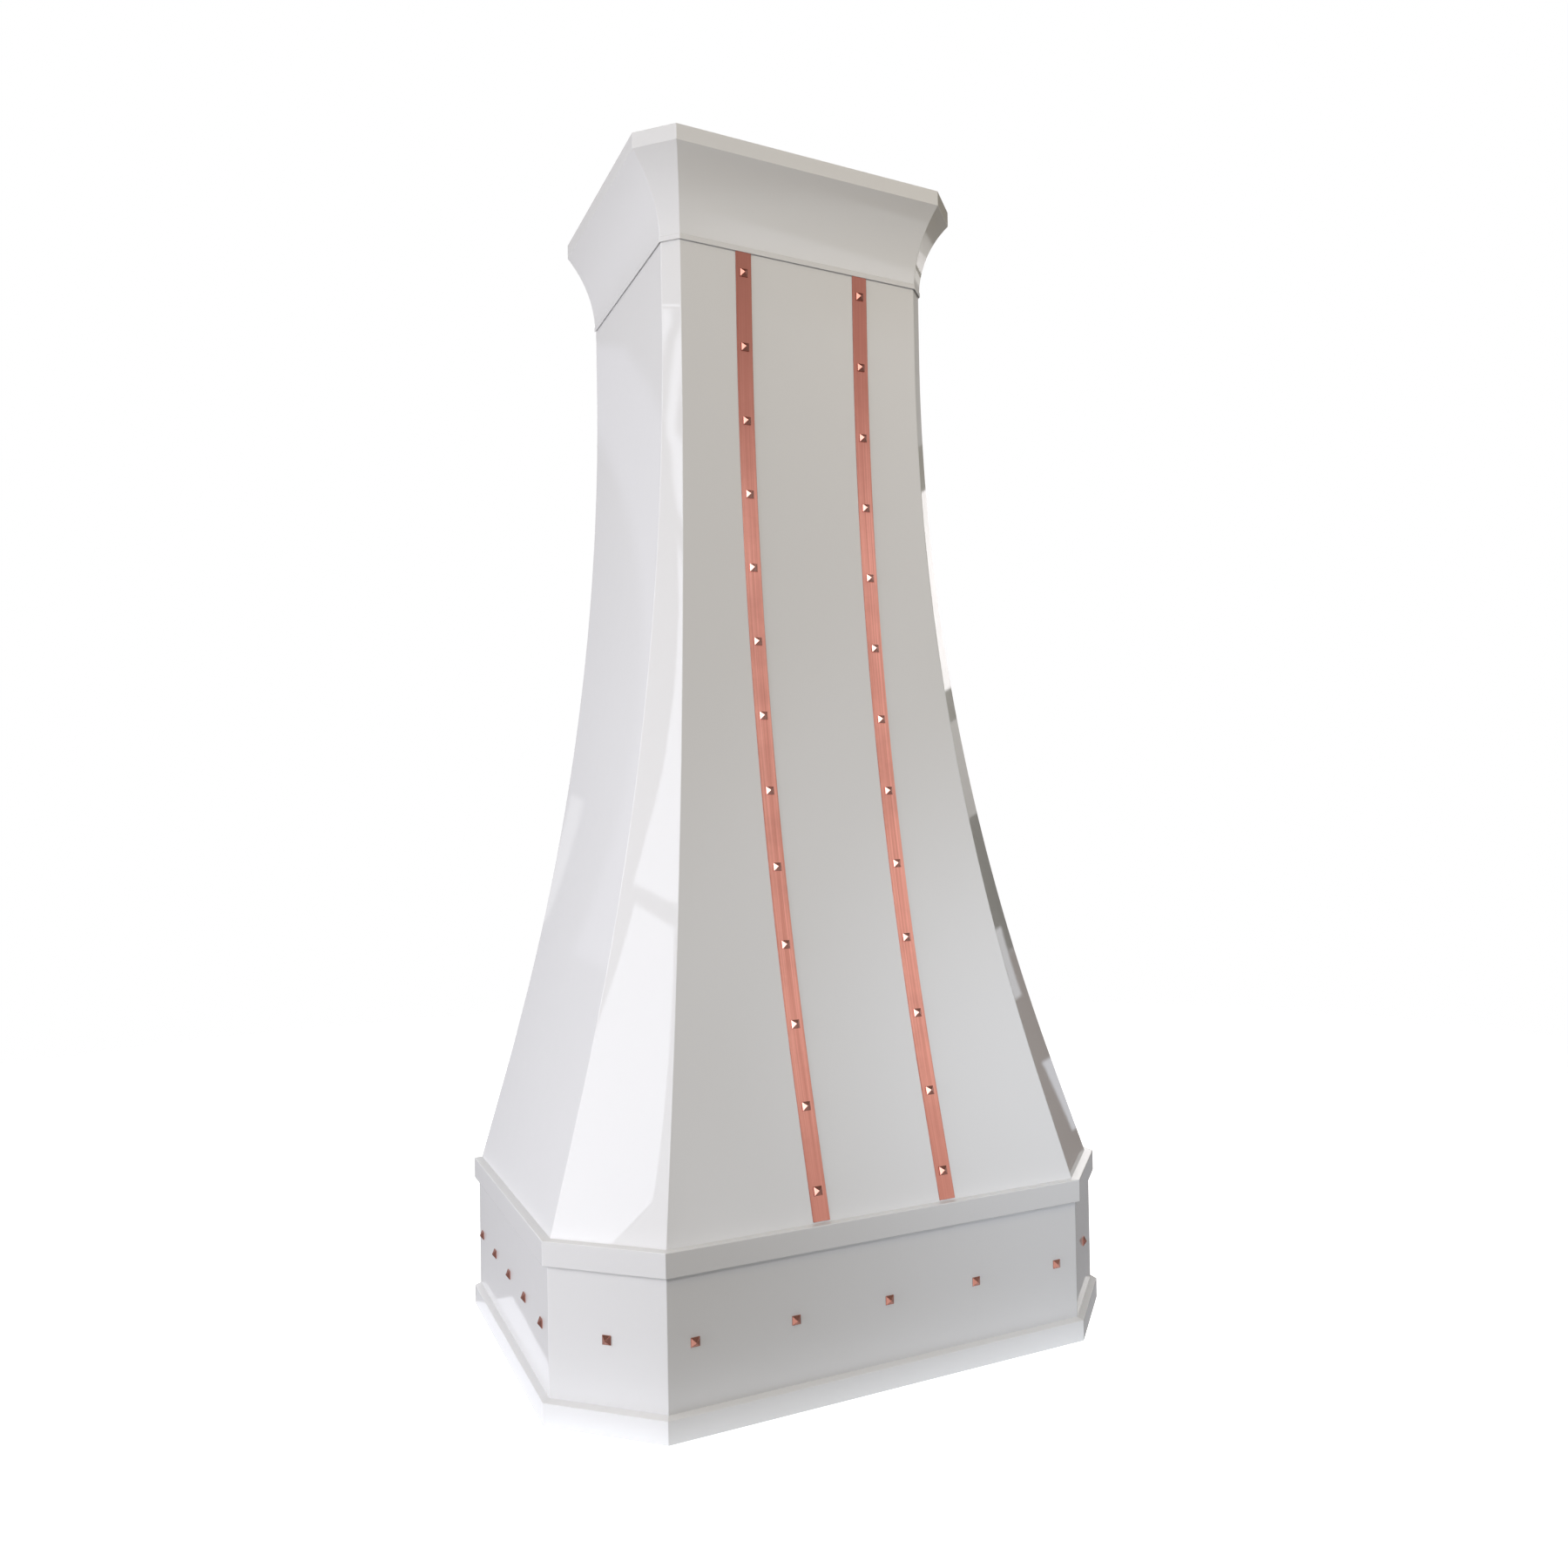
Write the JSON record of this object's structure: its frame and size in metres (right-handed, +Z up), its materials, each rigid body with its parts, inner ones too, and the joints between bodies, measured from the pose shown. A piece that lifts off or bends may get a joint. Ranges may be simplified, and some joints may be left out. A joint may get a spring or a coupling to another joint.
{
  "type": "range hood",
  "caption": "Wall range hood with a flared white bell, copper straps and pyramid studs, a coved crown, baffle filters and an inside blower.",
  "frame": {"origin": "on the house wall's plane, on the hood's centre line, level with the lowest edge of the skirt", "axes": "+X to the right seen from the front, +Y into the wall, +Z up"},
  "size_m": [0.9144, 0.6096, 1.812],
  "materials": {
    "white_paint": "gloss",
    "copper": "brushed copper",
    "stainless": "brushed",
    "rail_steel": "satin",
    "galvanised": "galvanised sheet",
    "steel": "polished steel",
    "motor_paint": "satin black",
    "black_plastic": "matte",
    "knob_black": "gloss",
    "lamp_glass": "frosted"
  },
  "bodies": {
    "hood": {"bell_side_left": "white_paint", "bell_corner_left": "white_paint", "bell_front": "white_paint", "bell_corner_right": "white_paint", "bell_side_right": "white_paint", "skirt_side_left": "white_paint", "skirt_corner_left": "white_paint", "skirt_front": "white_paint", "skirt_corner_right": "white_paint", "skirt_side_right": "white_paint", "base_trim": "white_paint", "shoulder_band": "white_paint", "crown_cove": "white_paint", "crown_fascia": "white_paint", "strap_left": "copper", "strap_right": "copper", "strap_studs_left": "copper", "strap_studs_right": "copper", "skirt_studs": "copper", "stile_left": "rail_steel", "stile_right": "rail_steel", "back_flange_left": "rail_steel", "back_flange_right": "rail_steel", "wall_rail_bottom": "rail_steel", "wall_rail_top": "rail_steel", "bottom_plate": "white_paint", "liner_left": "stainless", "liner_right": "stainless", "liner_front": "stainless", "liner_back": "stainless", "liner_top": "stainless", "liner_screws": "steel", "control_panel": "stainless", "filter_rail": "stainless", "lamp_can_left": "stainless", "lamp_can_right": "stainless", "lamp_lens_left": "lamp_glass", "lamp_lens_right": "lamp_glass", "fan_switch": "black_plastic", "light_switch": "black_plastic", "blower_box": "galvanised", "blower_housing": "galvanised", "motor_plate": "galvanised", "blower_motor": "motor_paint", "duct_collar": "galvanised", "damper_axle": "steel", "junction_box": "galvanised", "junction_cover": "galvanised", "cable_gland": "black_plastic"},
    "filter_left": {"baffle_filter_left": "stainless", "filter_handle_left": "steel"},
    "filter_right": {"baffle_filter_right": "stainless", "filter_handle_right": "steel"},
    "grease_tray": {"grease_tray": "stainless"},
    "fan_knob": {"fan_knob": "knob_black"},
    "light_button": {"light_button": "knob_black"},
    "impeller": {"impeller": "galvanised", "motor_shaft": "steel"},
    "damper_front": {"damper_flap_front": "galvanised"},
    "damper_back": {"damper_flap_back": "galvanised"}
  },
  "joints": [
    {"name": "filter_left_lift", "type": "slide", "parent": "hood", "child": "filter_left", "axis": [0, 0, 1], "range_m": [0, 0.03]},
    {"name": "filter_right_lift", "type": "slide", "parent": "hood", "child": "filter_right", "axis": [0, 0, 1], "range_m": [0, 0.03]},
    {"name": "grease_tray_pull", "type": "slide", "parent": "hood", "child": "grease_tray", "axis": [0, -1, 0], "range_m": [0, 0.025]},
    {"name": "fan_knob_turn", "type": "hinge", "parent": "hood", "child": "fan_knob", "pos_m": [0.06, -0.45553, 0.025], "axis": [0, 0, -1], "range_deg": [0, 270]},
    {"name": "light_button_press", "type": "slide", "parent": "hood", "child": "light_button", "axis": [0, 0, 1], "range_m": [0, 0.003], "stiffness_N_per_m": 400, "springref_m": -0.002},
    {"name": "impeller_spin", "type": "hinge", "parent": "hood", "child": "impeller", "pos_m": [0, -0.29502, 0.30001], "axis": [1, 0, 0], "continuous": true},
    {"name": "damper_front_swing", "type": "hinge", "parent": "hood", "child": "damper_front", "pos_m": [0, -0.205, 0.48722], "axis": [-1, 0, 0], "range_deg": [0, 80]},
    {"name": "damper_back_swing", "type": "hinge", "parent": "hood", "child": "damper_back", "pos_m": [0, -0.205, 0.48722], "axis": [1, 0, 0], "range_deg": [0, 80]}
  ]
}
